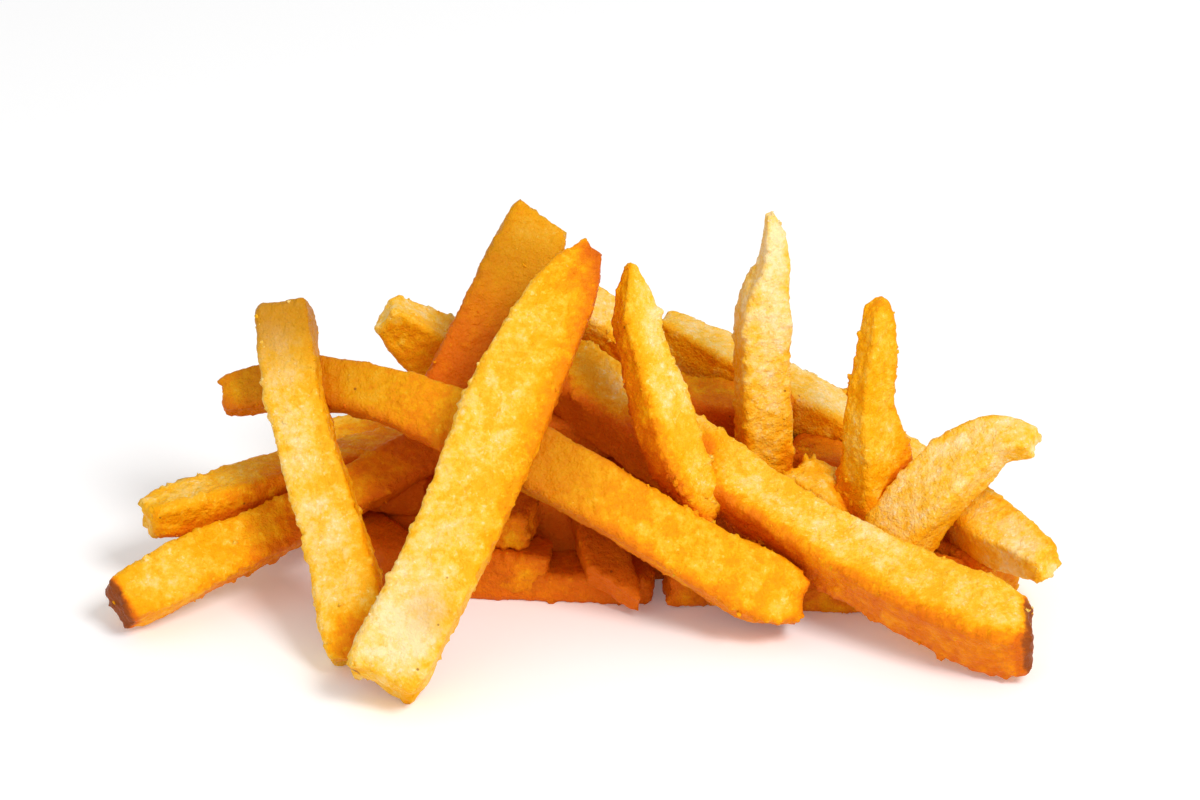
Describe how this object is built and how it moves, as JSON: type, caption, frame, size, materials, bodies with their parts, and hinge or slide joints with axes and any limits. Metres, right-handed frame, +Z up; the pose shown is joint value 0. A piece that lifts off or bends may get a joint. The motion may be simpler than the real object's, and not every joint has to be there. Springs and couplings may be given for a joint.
{
  "type": "heap of french fries",
  "caption": "Loose heap of thick, crisply coated french fries lying criss-cross on a flat surface, some leaning up and some pointed.",
  "frame": {"origin": "middle of the heap's outline, on the surface it lies on", "axes": "+Z up, +X to the viewer's right along the heap's longest side, -Y towards the viewer"},
  "size_m": [0.1256, 0.087, 0.0489],
  "materials": {
    "fried_crust": "dry, fine-grained golden fried crust with a faint oil sheen"
  },
  "bodies": {
    "root": {"fries_heap": "fried_crust"}
  },
  "joints": []
}
